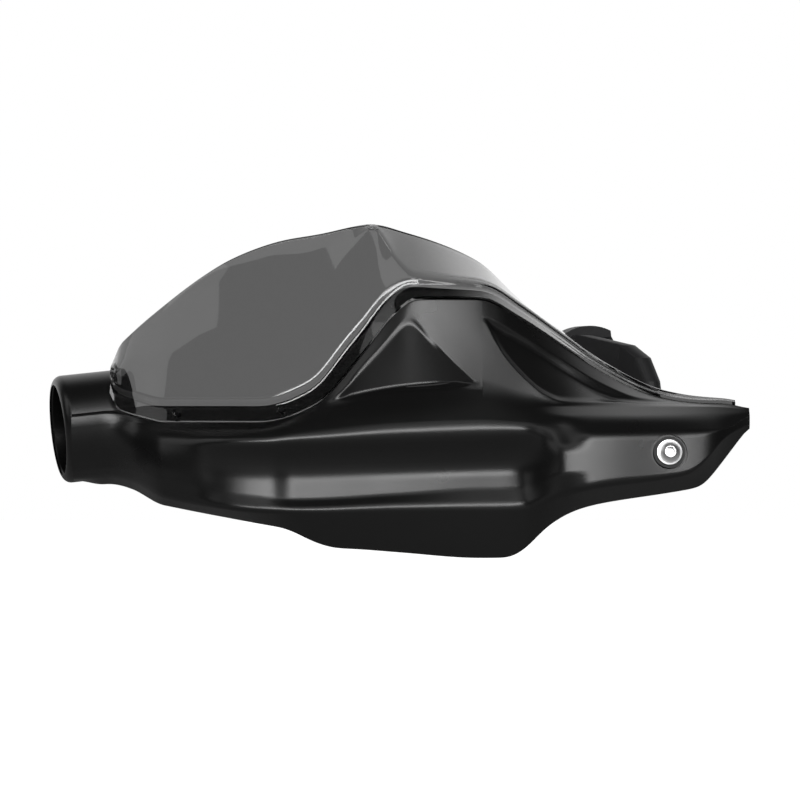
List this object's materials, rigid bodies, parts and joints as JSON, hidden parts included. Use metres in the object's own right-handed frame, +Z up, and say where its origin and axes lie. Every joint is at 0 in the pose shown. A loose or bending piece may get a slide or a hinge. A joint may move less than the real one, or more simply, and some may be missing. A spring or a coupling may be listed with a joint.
{
  "type": "motorcycle hand guard",
  "caption": "Moulded hand guard shell with a smoked wind deflector, a cup that bolts through the handlebar end and a cast inner bracket that clamps the handlebar.",
  "frame": {"origin": "centre of the bar-end hole, on the outer face of the web that it goes through", "axes": "+X across the machine towards its middle, +Y towards the rider, +Z up"},
  "size_m": [0.3233, 0.1441, 0.153],
  "materials": {
    "black_plastic": "satin moulded",
    "smoked_plastic": "clear smoked",
    "bright_steel": "stainless",
    "black_steel": "black zinc",
    "black_casting": "black powder coat",
    "rubber": "moulded"
  },
  "bodies": {
    "root": {"guard_shell": "black_plastic", "wind_deflector": "smoked_plastic", "deflector_screw_1": "black_steel", "deflector_screw_2": "black_steel", "deflector_screw_3": "black_steel", "deflector_screw_4": "black_steel", "deflector_washer_1": "black_steel", "deflector_washer_2": "black_steel", "deflector_washer_3": "black_steel", "deflector_washer_4": "black_steel", "bar_end_bush": "black_steel", "mounting_screw": "bright_steel", "screw_grommet": "rubber", "screw_sleeve": "bright_steel", "inner_bracket": "black_casting", "clamp_cap": "black_casting", "clamp_screw_1": "black_steel", "clamp_screw_2": "black_steel", "clamp_washer_1": "black_steel", "clamp_washer_2": "black_steel"}
  },
  "joints": []
}
